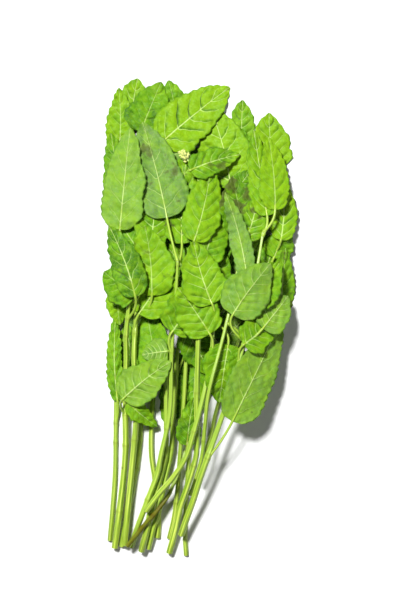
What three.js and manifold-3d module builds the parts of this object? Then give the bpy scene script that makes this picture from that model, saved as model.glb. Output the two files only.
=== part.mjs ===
// A bunch of holy basil: cut leafy stems laid over one another, as the bunch lies on a table.
// Millimetres, +Z up. The stems run along Y with their cut ends towards -Y, and the bunch lies on z = 0.
// Every leafy stem is one solid: a tapering stem with its petioles and its toothed leaf blades.
// The stems are laid one by one. Each sags under its own weight onto what already lies there.
import * as THREE from 'three';
import { mergeVertices } from 'three/addons/utils/BufferGeometryUtils.js';
import Module from 'manifold-3d';

// Driving dimensions.
const BUNCH_LENGTH = 289; // from the lowest cut end to the furthest leaf tip
const STEM_TIP_RADIUS = 0.9;
const PETIOLE_HALF_WIDTH = 0.8;
const PETIOLE_THICKNESS = 1.4;
const PETIOLE_REACH = 14; // how far behind a blade its petiole looks for the stem
const BLADE_THICKNESS = 0.8;
const MIDRIB_RISE = 0.35; // how far the midrib stands above the blade
const TIP_HALF_WIDTH = 0.45;
const TOOTH_DEPTH = 0.085; // of the half width
const TOOTH_LEAN = 0.35; // of the spacing of the teeth, towards the tip
const LAYER_GAP = 0.5; // free height between one leafy stem and the next
const STEM_FLAT = 0.12; // depth of the flat that a stem is pressed to where it lies on the table
const BUD_RADIUS = 1.3;
const BUD_SPIKE_LENGTH = 8;

// Plan view. Places are given in pixels of the reference picture, which looks straight down.
const PICTURE_TOP = 76; // row of the furthest leaf tip
const PICTURE_BOTTOM = 559; // row of the lowest cut end
const PICTURE_CENTRE = { column: 199.34, row: 316.97 };
const MM_PER_PIXEL = BUNCH_LENGTH / (PICTURE_BOTTOM - PICTURE_TOP);

// Mesh fineness.
const STEM_STATIONS = 12;
const STEM_SIDES = 8;
const PETIOLE_STATIONS = [0, 0.55]; // shares of the petiole
const BLADE_STEP = 5.2; // mm from one station of a blade to the next
const FEWEST_STATIONS = 6;
const MOST_STATIONS = 12;

// Stiffness of stems and blades as they come to rest.
const SETTLE_STEPS = 160;
const DROP_HEIGHT = 60;
const FIRST_FALL = 0.9; // mm a step at the start
const LAST_FALL = 0.06; // mm a step at the end
const STIFFNESS = 0.5;
const STEEPEST_BLADE = 0.55; // height over run, across and along a blade

// The leafy stems, lowest first. stem: plan points from the cut end to the tip. radius: at the cut end.
// leaves: plan points of the blade's base and tip, and its width in mm. If set, bow is how far its midrib
// bows sideways, as a share of its length, and reach how far behind its blade it looks for the stem.
// An under leaf lies below its own stem. The others lie above it.
const LEAFY_STEMS = [
  {
    stem: [
      [186, 558], [185, 535], [187, 485], [193, 420],
      [208, 345], [230, 262], [243, 190], [244, 152],
    ],
    radius: 1.5,
    leaves: [
      { base: [241, 148], tip: [243, 98], width: 17, under: true },
      { base: [254, 172], tip: [240, 126], width: 15, under: true },
      { base: [236, 232], tip: [200, 184], width: 23, under: true },
      { base: [248, 214], tip: [284, 170], width: 22, under: true },
      { base: [222, 302], tip: [188, 254], width: 23, under: true },
      { base: [238, 280], tip: [278, 240], width: 24, under: true },
      { base: [222, 345], tip: [262, 304], width: 24, under: true },
    ],
  },
  {
    stem: [
      [169, 541], [174, 519], [177, 495], [179, 468], [184, 400],
      [188, 320], [190, 240], [186, 160], [178, 132],
    ],
    radius: 1.6,
    leaves: [
      { base: [177, 128], tip: [168, 78], width: 19, under: true },
      { base: [190, 182], tip: [226, 136], width: 22, under: true },
      { base: [186, 196], tip: [152, 152], width: 23, under: true },
      { base: [194, 256], tip: [232, 208], width: 23, under: true },
      { base: [187, 284], tip: [152, 238], width: 24, under: true },
      { base: [198, 348], tip: [193, 422], width: 24, under: true },
      { base: [178, 374], tip: [167, 430], width: 17, under: true },
    ],
  },
  {
    stem: [
      [157, 540], [158, 522], [157, 495], [151, 455], [152, 410],
      [156, 350], [154, 300], [150, 220], [140, 160], [134, 134],
    ],
    radius: 1.8,
    leaves: [
      { base: [131, 126], tip: [137, 76], width: 23, under: true },
      { base: [147, 176], tip: [180, 134], width: 22, under: true },
      { base: [144, 190], tip: [110, 148], width: 22, under: true },
      { base: [151, 256], tip: [118, 208], width: 24, under: true },
      { base: [155, 270], tip: [191, 218], width: 24, under: true },
      { base: [154, 334], tip: [126, 288], width: 24, under: true },
    ],
  },
  {
    stem: [
      [121, 549], [130, 500], [138, 455], [141, 410], [141, 360],
      [144, 329], [140, 260], [128, 190], [120, 160],
    ],
    radius: 1.8,
    leaves: [
      { base: [118, 152], tip: [118, 86], width: 17 },
      { base: [130, 208], tip: [107, 162], width: 20 },
      { base: [139, 236], tip: [166, 188], width: 22 },
      { base: [131, 380], tip: [124, 322], width: 14, under: true },
    ],
  },
  {
    stem: [[109, 543], [114, 482], [115, 434], [116, 367], [118, 300], [119, 235], [115, 182]],
    radius: 1.6,
    leaves: [
      { base: [117, 402], tip: [116, 310], width: 10 },
      { base: [117, 290], tip: [119, 325], width: 14 },
      { base: [117, 186], tip: [110, 132], width: 14 },
    ],
  },
  {
    stem: [
      [190, 497], [205, 455], [212, 434], [217, 410],
      [238, 345], [262, 275], [276, 225], [281, 190],
    ],
    radius: 1.4,
    leaves: [
      { base: [264, 264], tip: [238, 214], width: 22 },
      { base: [262, 280], tip: [274, 238], width: 18 },
      { base: [274, 258], tip: [290, 226], width: 18 },
      { base: [282, 314], tip: [286, 248], width: 15 },
      { base: [281, 240], tip: [285, 182], width: 16 },
      { base: [276, 168], tip: [270, 111], width: 24 },
    ],
  },
  {
    stem: [
      [148, 551], [153, 529], [158, 515], [165, 480], [171, 452], [174, 410],
      [176, 377], [178, 350], [190, 285], [205, 220], [221, 176],
    ],
    radius: 1.8,
    leaves: [
      { base: [196, 286], tip: [163, 242], width: 24 },
      { base: [201, 262], tip: [235, 218], width: 23 },
      { base: [186, 330], tip: [210, 376], width: 20 },
      { base: [231, 187], tip: [209, 103], width: 30 },
    ],
  },
  {
    stem: [
      [141, 553], [147, 529], [151, 509], [162, 472], [166, 450],
      [166, 410], [167, 360], [175, 310], [181, 266],
    ],
    radius: 2,
    leaves: [
      { base: [160, 368], tip: [147, 312], width: 22 },
      { base: [176, 314], tip: [147, 268], width: 24 },
      { base: [190, 304], tip: [227, 256], width: 26 },
    ],
  },
  {
    stem: [
      [124, 547], [129, 495], [133, 455], [136, 413], [134, 360],
      [135, 331], [138, 300], [142, 250], [146, 200], [148, 172],
    ],
    radius: 1.9,
    leaves: [
      { base: [138, 248], tip: [116, 214], width: 20 },
      { base: [150, 246], tip: [154, 200], width: 20 },
      { base: [140, 131], tip: [161, 80], width: 24 },
      { base: [139, 314], tip: [178, 262], width: 26 },
      { base: [152, 296], tip: [145, 226], width: 27 },
      { base: [161, 142], tip: [230, 85], width: 30, bow: 0.03 },
    ],
  },
  {
    stem: [
      [131, 549], [137, 529], [147, 502], [157, 475], [161, 455],
      [170, 410], [172, 350], [176, 300], [178, 262],
    ],
    radius: 1.9,
    leaves: [
      { base: [168, 351], tip: [142, 355], width: 16 },
      { base: [172, 332], tip: [202, 286], width: 24 },
      { base: [182, 244], tip: [188, 150], width: 22 },
      { base: [167, 218], tip: [142, 121], width: 30, bow: -0.03 },
    ],
  },
  {
    stem: [[127, 547], [147, 522], [153, 516], [167, 498], [172, 488], [179, 472], [185, 452]],
    radius: 1.5,
    leaves: [
      { base: [187, 446], tip: [194, 398], width: 14 },
    ],
  },
  {
    stem: [
      [169, 555], [175, 532], [180, 509], [187, 488], [194, 465], [197, 446],
      [197, 400], [198, 350], [199, 300], [199, 240], [202, 200],
      [196, 172], [181, 151],
    ],
    radius: 2.1,
    buds: true,
    leaves: [
      { base: [202, 262], tip: [221, 214], width: 22 },
      { base: [194, 242], tip: [211, 165], width: 22 },
      { base: [190, 171], tip: [240, 154], width: 16, reach: 3 },
    ],
  },
  {
    stem: [
      [114, 550], [121, 495], [125, 452], [125, 410], [126, 360],
      [126, 335], [129, 303], [128, 270], [121, 240],
    ],
    radius: 2,
    leaves: [
      { base: [128, 402], tip: [157, 427], width: 11 },
      { base: [120, 230], tip: [130, 127], width: 25 },
      { base: [137, 294], tip: [104, 272], width: 24 },
      { base: [136, 297], tip: [109, 226], width: 19 },
      { base: [123, 399], tip: [171, 361], width: 23 },
    ],
  },
  {
    stem: [
      [146, 511], [160, 492], [172, 478], [186, 456], [195, 427],
      [204, 393], [210, 360], [212, 345], [214, 300], [212, 260],
    ],
    radius: 1.8,
    leaves: [
      { base: [228, 344], tip: [219, 402], width: 24 },
      { base: [210, 334], tip: [178, 288], width: 25 },
      { base: [212, 304], tip: [194, 242], width: 25 },
    ],
  },
  {
    stem: [[196, 478], [202, 455], [205, 424], [209, 390], [222, 340], [234, 290], [240, 250], [240, 214]],
    radius: 1.3,
    leaves: [
      { base: [243, 350], tip: [236, 402], width: 16 },
      { base: [236, 192], tip: [251, 170], width: 13 },
      { base: [245, 234], tip: [233, 176], width: 23 },
      { base: [246, 240], tip: [258, 194], width: 17 },
    ],
  },
  {
    stem: [
      [181, 536], [187, 518], [194, 498], [200, 478], [208, 455], [218, 427],
      [225, 407], [232, 387], [245, 335], [255, 280], [263, 232],
    ],
    radius: 2.1,
    leaves: [
      { base: [232, 420], tip: [281, 320], width: 26, reach: 26, bow: 0 },
      { base: [243, 344], tip: [274, 318], width: 20 },
      { base: [262, 328], tip: [288, 296], width: 20 },
      { base: [254, 306], tip: [280, 262], width: 21 },
      { base: [247, 282], tip: [225, 193], width: 13 },
      { base: [232, 315], tip: [270, 264], width: 27 },
      { base: [267, 216], tip: [254, 129], width: 17 },
      { base: [275, 210], tip: [269, 136], width: 18 },
    ],
  },
];

const STEM_GREENS = ['#7cb518', '#6aa51c', '#86c02a', '#5f9a1a', '#74b022'];

const wasm = await Module();
wasm.setup();

const planPoint = ([column, row]) => new THREE.Vector2(
  (column - PICTURE_CENTRE.column) * MM_PER_PIXEL,
  (PICTURE_CENTRE.row - row) * MM_PER_PIXEL,
);

// The pile: the height of what already lies at each cell of a plan grid.
const CELL = 0.5;
const PILE_HALF_WIDTH = 75;
const PILE_HALF_LENGTH = 160;
const COLUMNS = (2 * PILE_HALF_WIDTH) / CELL;
const ROWS = (2 * PILE_HALF_LENGTH) / CELL;
const pile = new Float64Array(COLUMNS * ROWS);

const cellOf = (x, y) => Math.floor((y + PILE_HALF_LENGTH) / CELL) * COLUMNS
  + Math.floor((x + PILE_HALF_WIDTH) / CELL);

// The lowest free height over a cell. Bare table needs no gap.
const freeHeight = (heights, cell) => (heights[cell] > 0 ? heights[cell] + LAYER_GAP : 0);

// Raises the pile at a point and in the cells round it, so that a later piece keeps clear sideways too.
function pileUp(x, y, height) {
  for (const dx of [-CELL, 0, CELL]) {
    for (const dy of [-CELL, 0, CELL]) {
      const cell = cellOf(x + dx, y + dy);
      pile[cell] = Math.max(pile[cell], height);
    }
  }
}

const sumOf = (numbers) => numbers.reduce((sum, number) => sum + number, 0);
const LEAST_FREE_SHARE = 0.4; // a rest point that the held vertices carry more of is left out

// A rest point says how high the mix of some vertices has to be: { vertices, shares, height }.
const heightAt = (heights, point) => point.vertices.reduce(
  (sum, vertex, i) => sum + heights[vertex] * point.shares[i],
  0,
);

// Lets vertices fall until they rest. relax pulls them towards the form of the piece at each step,
// and level lifts those that hang too low beside their neighbours.
function settle(heights, restPoints, relax, level = () => {}) {
  for (let step = 0; step < SETTLE_STEPS; step++) {
    const fall = LAST_FALL + (FIRST_FALL - LAST_FALL) * (1 - step / SETTLE_STEPS);
    relax(heights, fall);
    level(heights);
    for (const point of restPoints) {
      const lift = point.height - heightAt(heights, point);
      if (lift <= 0) continue;
      const weight = sumOf(point.shares.map((share) => share * share));
      point.vertices.forEach((vertex, i) => {
        heights[vertex] += (lift * point.shares[i]) / weight;
      });
    }
  }
  for (const point of restPoints) {
    const lift = (point.height - heightAt(heights, point)) / sumOf(point.shares);
    if (lift <= 0) continue;
    for (const vertex of point.vertices) heights[vertex] += lift;
  }
  level(heights);
}

// The same rest points with the first few vertices held where they are.
function holdFirst(count, heights, restPoints) {
  return restPoints.map(({ vertices, shares, height }) => {
    const free = vertices.map((vertex, i) => i).filter((i) => vertices[i] >= count);
    const held = vertices.map((vertex, i) => (vertex < count ? heights[vertex] * shares[i] : 0));
    return {
      vertices: free.map((i) => vertices[i]),
      shares: free.map((i) => shares[i]),
      height: height - sumOf(held),
    };
  }).filter(({ shares }) => sumOf(shares) > LEAST_FREE_SHARE);
}

// Visits the grid points inside a plan triangle, with their shares of its corners.
function eachPointInTriangle([a, b, c], visit) {
  const area = (b.x - a.x) * (c.y - a.y) - (c.x - a.x) * (b.y - a.y);
  if (Math.abs(area) < 1e-6) return;
  const centred = (v) => (Math.floor(v / CELL) + 0.5) * CELL;
  const highX = Math.max(a.x, b.x, c.x) + CELL;
  const highY = Math.max(a.y, b.y, c.y) + CELL;
  const slack = -0.15;
  for (let x = centred(Math.min(a.x, b.x, c.x) - CELL); x < highX; x += CELL) {
    for (let y = centred(Math.min(a.y, b.y, c.y) - CELL); y < highY; y += CELL) {
      const shareB = ((x - a.x) * (c.y - a.y) - (c.x - a.x) * (y - a.y)) / area;
      const shareC = ((b.x - a.x) * (y - a.y) - (x - a.x) * (b.y - a.y)) / area;
      const shareA = 1 - shareB - shareC;
      if (Math.min(shareA, shareB, shareC) > slack) visit(x, y, [shareA, shareB, shareC]);
    }
  }
}

// A closed solid through rings of points, with flat ends.
// flipped tells which sides split along the other diagonal.
function sweptSolid(rings, flipped = () => false) {
  const sides = rings[0].length;
  const triangles = [];
  for (let i = 0; i + 1 < rings.length; i++) {
    for (let k = 0; k < sides; k++) {
      const a = i * sides + k;
      const b = i * sides + ((k + 1) % sides);
      const c = b + sides;
      const d = a + sides;
      triangles.push(...(flipped(k) ? [a, b, d, b, c, d] : [a, b, c, a, c, d]));
    }
  }
  const last = (rings.length - 1) * sides;
  for (let k = 1; k + 1 < sides; k++) triangles.push(0, k + 1, k, last, last + k, last + k + 1);
  const vertProperties = new Float32Array(rings.flat().flatMap((p) => [p.x, p.y, p.z]));
  return solidOf(vertProperties, new Uint32Array(triangles));
}

function solidOf(vertProperties, triVerts) {
  const solid = new wasm.Manifold(new wasm.Mesh({ numProp: 3, vertProperties, triVerts }));
  return solid.volume() < 0
    ? new wasm.Manifold(new wasm.Mesh({ numProp: 3, vertProperties, triVerts: triVerts.toReversed() }))
    : solid;
}

function geometryOf(solid) {
  const { vertProperties, triVerts } = solid.getMesh();
  const geometry = new THREE.BufferGeometry();
  geometry.setAttribute('position', new THREE.BufferAttribute(vertProperties, 3));
  geometry.setIndex(new THREE.BufferAttribute(triVerts, 1));
  geometry.computeVertexNormals();
  return geometry;
}

const sideOf = (direction) => new THREE.Vector2(-direction.y, direction.x);

// Stem.

// The plan line of a stem and its stations: { point, side, radius }.
function layOutStem(sprig) {
  const points = sprig.stem.map(planPoint).map((p) => new THREE.Vector3(p.x, p.y, 0));
  const line = new THREE.CatmullRomCurve3(points, false, 'catmullrom');
  const stations = Array.from({ length: STEM_STATIONS }, (_, i) => {
    const share = i / (STEM_STATIONS - 1);
    const tangent = line.getTangent(share);
    return {
      point: new THREE.Vector2().copy(line.getPoint(share)),
      side: sideOf(new THREE.Vector2(tangent.x, tangent.y).normalize()),
      radius: THREE.MathUtils.lerp(sprig.radius, STEM_TIP_RADIUS, share * share),
    };
  });
  return { line, stations };
}

// Visits points across and along the stem, with the shares of the two stations that they lie between.
function eachPointOnStem(stations, visit, extraReach = () => 0) {
  for (let i = 0; i + 1 < stations.length; i++) {
    const [a, b] = [stations[i], stations[i + 1]];
    const steps = Math.ceil(a.point.distanceTo(b.point) / CELL);
    for (let step = 0; step <= steps; step++) {
      const share = step / steps;
      const middle = a.point.clone().lerp(b.point, share);
      const side = a.side.clone().lerp(b.side, share);
      const radius = THREE.MathUtils.lerp(a.radius, b.radius, share);
      const reach = radius + extraReach(middle);
      for (let offset = -reach; offset <= reach; offset += CELL) {
        const p = middle.clone().addScaledVector(side, offset);
        visit(p, { offset, radius, vertices: [i, i + 1], shares: [1 - share, share] });
      }
    }
  }
}

// How far the surface of an eight-sided stem lies above or below its middle.
const stemDepth = (radius, offset) => Math.min(radius, Math.SQRT2 * radius - Math.abs(offset));

// The heights of a stem's middle at its stations, at rest on the pile.
function settleStem({ line, stations }, hasBuds) {
  const end = line.getPoint(1);
  const tip = new THREE.Vector2(end.x, end.y);
  const budReach = (p) => (hasBuds && p.distanceTo(tip) < BUD_SPIKE_LENGTH ? 2 * BUD_RADIUS : 0);
  const restPoints = [];
  eachPointOnStem(stations, (p, { offset, radius, vertices, shares }) => {
    const depth = budReach(p) ? radius : stemDepth(radius, offset);
    restPoints.push({ vertices, shares, height: freeHeight(pile, cellOf(p.x, p.y)) + depth });
  }, budReach);
  const heights = new Float64Array(stations.length).fill(DROP_HEIGHT);
  settle(heights, restPoints, (z, fall) => {
    for (let i = 0; i < z.length; i++) z[i] -= fall;
    for (let i = 1; i + 1 < z.length; i++) z[i] += STIFFNESS * ((z[i - 1] + z[i + 1]) / 2 - z[i]);
  });
  return heights;
}

function stemSolid(stations, heights) {
  const turn = (2 * Math.PI) / STEM_SIDES;
  const toCorner = 1 / Math.cos(turn / 2);
  const rings = stations.map(({ point, side, radius }, i) => Array.from({ length: STEM_SIDES }, (_, k) => {
    const angle = (k + 0.5) * turn;
    const across = point.clone().addScaledVector(side, radius * toCorner * Math.cos(angle));
    const height = heights[i] + radius * toCorner * Math.sin(angle) - STEM_FLAT;
    return new THREE.Vector3(across.x, across.y, height);
  }));
  return sweptSolid(rings).trimByPlane([0, 0, 1], 0);
}

function pileStem(stations, heights) {
  eachPointOnStem(stations, (p, { offset, radius, vertices, shares }) => {
    pileUp(p.x, p.y, heightAt(heights, { vertices, shares }) + stemDepth(radius, offset));
  });
}

// Leaf.

// The half width of a blade, as a share of its widest, from base to tip.
const BASE_FULLNESS = 0.34;
const TIP_FULLNESS = 0.72;
const outline = (share) => share ** BASE_FULLNESS * (1 - share) ** TIP_FULLNESS;
const bladeOutline = (share) => outline(share) / outline(BASE_FULLNESS / (BASE_FULLNESS + TIP_FULLNESS));
const bladeStations = (length) => THREE.MathUtils.clamp(
  Math.round(length / BLADE_STEP) + 1,
  FEWEST_STATIONS,
  MOST_STATIONS,
);

// The plan of one leaf: stations { middle, left, right } from the petiole's root to the tip.
function layOutLeaf(leaf, number, stemLine) {
  const base = planPoint(leaf.base);
  const tip = planPoint(leaf.tip);
  const length = base.distanceTo(tip);
  const bow = length * (leaf.bow ?? 0.07 * Math.sin(2.4 * number));
  const control = base.clone().lerp(tip, 0.5)
    .addScaledVector(sideOf(tip.clone().sub(base).normalize()), bow);
  const midrib = new THREE.QuadraticBezierCurve(base, control, tip);
  const start = control.clone().sub(base).normalize();
  const wanted = base.clone().addScaledVector(start, -(leaf.reach ?? PETIOLE_REACH));
  const root = nearestOnStem(stemLine, wanted);
  const pull = base.clone().addScaledVector(start, -0.5 * root.distanceTo(base));
  const petiole = new THREE.QuadraticBezierCurve(root, pull, base);

  const stations = PETIOLE_STATIONS.map(
    (share) => station(petiole, share, PETIOLE_HALF_WIDTH, PETIOLE_HALF_WIDTH),
  );
  const count = bladeStations(length);
  const spacing = 1 / (count - 1);
  for (let i = 0; i < count; i++) {
    const share = i * spacing;
    const half = Math.max((leaf.width / 2) * bladeOutline(share), i ? TIP_HALF_WIDTH : PETIOLE_HALF_WIDTH);
    const inside = i > 0 && i + 1 < count;
    const toothed = (side) => (inside ? ((i + side) % 2 ? 1 + TOOTH_DEPTH : 1 - TOOTH_DEPTH) : 1);
    const lean = (side) => (inside && (i + side) % 2 ? TOOTH_LEAN * spacing * length : 0);
    stations.push(station(midrib, share, half * toothed(0), half * toothed(1), lean(0), lean(1)));
  }
  return stations;
}

function station(curve, share, leftHalf, rightHalf, leftLean = 0, rightLean = 0) {
  const middle = curve.getPoint(share);
  const direction = curve.getTangent(share);
  const side = sideOf(direction);
  return {
    middle,
    left: middle.clone().addScaledVector(side, leftHalf).addScaledVector(direction, leftLean),
    right: middle.clone().addScaledVector(side, -rightHalf).addScaledVector(direction, rightLean),
  };
}

function nearestOnStem(line, wanted) {
  const tries = 200;
  let nearest = null;
  for (let i = 0; i <= tries; i++) {
    const { x, y } = line.getPoint(i / tries);
    const p = new THREE.Vector2(x, y);
    if (!nearest || p.distanceTo(wanted) < nearest.distanceTo(wanted)) nearest = p;
  }
  return nearest;
}

// A leaf's vertices are counted left, middle, right at each station.
const ACROSS = 3;
const leafPoints = (stations) => stations.flatMap(({ left, middle, right }) => [left, middle, right]);

// The triangles between two stations, split the same way on both faces of the blade.
function leafTriangles(first, last) {
  const triangles = [];
  for (let i = first; i < last; i++) {
    for (const k of [0, 1]) {
      const a = i * ACROSS + k;
      triangles.push([a, a + 1, a + ACROSS + 1], [a, a + ACROSS + 1, a + ACROSS]);
    }
  }
  return triangles;
}

function leafRestPoints(points, first, last, below) {
  const restPoints = [];
  for (let v = first * ACROSS; v < (last + 1) * ACROSS; v++) {
    const height = freeHeight(below, cellOf(points[v].x, points[v].y));
    restPoints.push({ vertices: [v], shares: [1], height });
  }
  for (const vertices of leafTriangles(first, last)) {
    eachPointInTriangle(vertices.map((v) => points[v]), (x, y, shares) => {
      restPoints.push({ vertices, shares, height: freeHeight(below, cellOf(x, y)) });
    });
  }
  return restPoints;
}

// Weighs a blade down and smooths it along its length.
function relaxBlade(first, last) {
  return (z, fall) => {
    for (let v = first * ACROSS; v < z.length; v++) z[v] -= fall;
    for (let v = (first + 1) * ACROSS; v < last * ACROSS; v++) {
      z[v] += STIFFNESS * ((z[v - ACROSS] + z[v + ACROSS]) / 2 - z[v]);
    }
  };
}

// Keeps a blade from being steeper than it may be, across and along.
function levelBlade(points, first, last) {
  const pairs = [];
  for (let i = first; i <= last; i++) {
    const middle = i * ACROSS + 1;
    pairs.push([middle, middle - 1], [middle, middle + 1]);
    if (i < last) for (const v of [middle - 1, middle, middle + 1]) pairs.push([v, v + ACROSS]);
  }
  const reaches = pairs.map(([a, b]) => STEEPEST_BLADE * points[a].distanceTo(points[b]));
  const lift = (z, [a, b], reach) => {
    z[a] = Math.max(z[a], z[b] - reach);
    z[b] = Math.max(z[b], z[a] - reach);
  };
  return (z) => {
    for (let n = 0; n < pairs.length; n++) lift(z, pairs[n], reaches[n]);
    for (let n = pairs.length - 1; n >= 0; n--) lift(z, pairs[n], reaches[n]);
  };
}

const FIRST_BLADE_STATION = PETIOLE_STATIONS.length;

// The heights of a blade's underside at rest on the pile. The petiole's stations are set afterwards.
function settleBlade(stations) {
  const points = leafPoints(stations);
  const heights = new Float64Array(points.length).fill(DROP_HEIGHT);
  const last = stations.length - 1;
  settle(
    heights,
    leafRestPoints(points, FIRST_BLADE_STATION, last, pile),
    relaxBlade(FIRST_BLADE_STATION, last),
    levelBlade(points, FIRST_BLADE_STATION, last),
  );
  return heights;
}

// Runs the petiole from the middle of the stem to the blade, above what lay there before this leafy stem.
function settlePetiole(stations, heights, rootHeight, below) {
  const points = leafPoints(stations);
  const bladeHeight = heights[FIRST_BLADE_STATION * ACROSS + 1];
  PETIOLE_STATIONS.forEach((share, i) => {
    const height = THREE.MathUtils.lerp(rootHeight - PETIOLE_THICKNESS / 2, bladeHeight, share);
    for (let k = 0; k < ACROSS; k++) heights[i * ACROSS + k] = height;
  });
  const restPoints = leafRestPoints(points, 0, FIRST_BLADE_STATION, below);
  settle(heights, holdFirst(ACROSS, heights, restPoints), () => {});
}

const leafTop = (heights, vertex) => {
  const isMiddle = vertex % ACROSS === 1;
  const onPetiole = vertex < FIRST_BLADE_STATION * ACROSS;
  const thickness = onPetiole ? PETIOLE_THICKNESS : BLADE_THICKNESS;
  return heights[vertex] + thickness + (isMiddle ? MIDRIB_RISE : 0);
};

function pileLeaf(stations, heights, first) {
  const points = leafPoints(stations);
  const tops = heights.map((_, v) => leafTop(heights, v));
  for (const vertices of leafTriangles(first, stations.length - 1)) {
    eachPointInTriangle(vertices.map((v) => points[v]), (x, y, shares) => {
      pileUp(x, y, heightAt(tops, { vertices, shares }));
    });
  }
}

function leafSolid(stations, heights) {
  const points = leafPoints(stations);
  const corner = (vertex, z) => new THREE.Vector3(points[vertex].x, points[vertex].y, z);
  const rings = stations.map((_, i) => {
    const row = [0, 1, 2].map((k) => i * ACROSS + k);
    return [
      ...row.map((v) => corner(v, leafTop(heights, v))),
      ...row.toReversed().map((v) => corner(v, heights[v])),
    ];
  });
  const isUnderside = (k) => k === ACROSS || k === ACROSS + 1;
  return sweptSolid(rings, isUnderside);
}

// Flower buds.

// Whorls of buds round the last stretch of a stem, above its underside.
function budSolids(line, stations, heights) {
  const whorls = 3;
  const angles = [0, 60, 120, 180].map(THREE.MathUtils.degToRad);
  const stemLength = line.getLength();
  const solids = [];
  for (let whorl = 0; whorl < whorls; whorl++) {
    const back = (whorl / (whorls - 1)) * (BUD_SPIKE_LENGTH - 2 * BUD_RADIUS) + 0.3;
    const share = line.getUtoTmapping(1 - back / stemLength);
    const p = line.getPoint(share);
    const tangent = line.getTangent(share);
    const side = sideOf(tangent);
    const at = share * (STEM_STATIONS - 1);
    const i = Math.min(Math.floor(at), STEM_STATIONS - 2);
    const z = THREE.MathUtils.lerp(heights[i], heights[i + 1], at - i);
    for (const angle of angles) {
      const reach = STEM_TIP_RADIUS + 0.45 * BUD_RADIUS;
      const bud = new THREE.OctahedronGeometry(BUD_RADIUS, 0)
        .rotateZ(whorl)
        .translate(
          p.x + side.x * reach * Math.cos(angle),
          p.y + side.y * reach * Math.cos(angle),
          z + BUD_RADIUS - STEM_TIP_RADIUS + reach * Math.sin(angle),
        );
      bud.deleteAttribute('normal');
      bud.deleteAttribute('uv');
      const merged = mergeVertices(bud);
      solids.push(solidOf(merged.attributes.position.array, new Uint32Array(merged.index.array)));
    }
  }
  return solids;
}

// One leafy stem.

function heightOnStem({ line, stations }, heights, root) {
  let best = { distance: Infinity, height: 0 };
  eachPointOnStem(stations, (p, { vertices, shares }) => {
    const distance = p.distanceTo(root);
    if (distance < best.distance) best = { distance, height: heightAt(heights, { vertices, shares }) };
  });
  return best.height;
}

function layLeafyStem(sprig, firstNumber) {
  const below = pile.slice();
  const stem = layOutStem(sprig);
  const leaves = sprig.leaves.map((leaf, i) => ({
    under: leaf.under,
    stations: layOutLeaf(leaf, firstNumber + i, stem.line),
  }));
  for (const leaf of leaves.filter(({ under }) => under)) {
    leaf.heights = settleBlade(leaf.stations);
    pileLeaf(leaf.stations, leaf.heights, FIRST_BLADE_STATION);
  }
  const stemHeights = settleStem(stem, sprig.buds);
  pileStem(stem.stations, stemHeights);
  for (const leaf of leaves.toSorted((a, b) => Boolean(b.under) - Boolean(a.under))) {
    leaf.heights ??= settleBlade(leaf.stations);
    const rootHeight = heightOnStem(stem, stemHeights, leaf.stations[0].middle);
    settlePetiole(leaf.stations, leaf.heights, rootHeight, below);
    pileLeaf(leaf.stations, leaf.heights, 0);
  }
  const pieces = leaves.map(({ stations, heights }) => leafSolid(stations, heights));
  if (sprig.buds) pieces.push(...budSolids(stem.line, stem.stations, stemHeights));
  return pieces.reduce((whole, piece) => whole.add(piece), stemSolid(stem.stations, stemHeights));
}

const bunch = new THREE.Group();
bunch.name = 'holy_basil_bunch';
let leavesLaid = 0;
LEAFY_STEMS.forEach((sprig, i) => {
  const material = new THREE.MeshStandardMaterial({
    color: STEM_GREENS[i % STEM_GREENS.length],
    roughness: 0.55,
    metalness: 0,
  });
  const mesh = new THREE.Mesh(geometryOf(layLeafyStem(sprig, leavesLaid)), material);
  mesh.name = `leafy_stem_${String(i + 1).padStart(2, '0')}`;
  leavesLaid += sprig.leaves.length;
  bunch.add(mesh);
});

export default bunch;
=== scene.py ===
"""A cut bunch of holy basil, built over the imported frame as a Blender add-on and run as a script."""

import math

import bpy
import numpy as np
from bpy.props import FloatProperty, FloatVectorProperty, IntProperty, PointerProperty
from bpy.types import Operator, Panel, PropertyGroup
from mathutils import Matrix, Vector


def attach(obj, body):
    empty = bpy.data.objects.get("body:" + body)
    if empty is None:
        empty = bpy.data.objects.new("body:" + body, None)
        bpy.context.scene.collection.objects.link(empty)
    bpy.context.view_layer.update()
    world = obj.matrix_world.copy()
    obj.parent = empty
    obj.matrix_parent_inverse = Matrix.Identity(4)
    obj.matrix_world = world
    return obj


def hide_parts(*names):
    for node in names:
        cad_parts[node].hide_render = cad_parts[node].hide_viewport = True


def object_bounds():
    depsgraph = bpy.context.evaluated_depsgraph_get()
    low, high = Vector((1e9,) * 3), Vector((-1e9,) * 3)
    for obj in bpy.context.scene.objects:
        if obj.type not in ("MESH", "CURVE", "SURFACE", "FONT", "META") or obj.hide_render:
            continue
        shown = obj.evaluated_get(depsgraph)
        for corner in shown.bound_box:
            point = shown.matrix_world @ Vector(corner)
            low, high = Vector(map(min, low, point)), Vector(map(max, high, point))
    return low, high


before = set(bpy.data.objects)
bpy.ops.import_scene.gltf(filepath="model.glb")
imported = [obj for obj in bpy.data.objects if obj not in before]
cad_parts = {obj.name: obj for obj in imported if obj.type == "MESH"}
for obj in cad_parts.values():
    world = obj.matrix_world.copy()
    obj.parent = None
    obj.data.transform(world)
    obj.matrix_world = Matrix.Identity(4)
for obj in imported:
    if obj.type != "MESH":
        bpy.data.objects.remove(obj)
CAD_BOX = [list(corner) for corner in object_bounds()]

bl_info = {
    "name": "Holy Basil Bunch",
    "version": (1, 0, 0),
    "blender": (4, 5, 0),
    "location": "View3D > Sidebar > Basil",
    "description": "Builds a cut bunch of holy basil: ribbed stems, veined leaves and a tuft of buds",
    "category": "Add Mesh",
}

MM = 0.001  # one millimetre in the scene's metres
UV_MM = 100.0  # millimetres in one unit of a piece's UV

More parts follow.
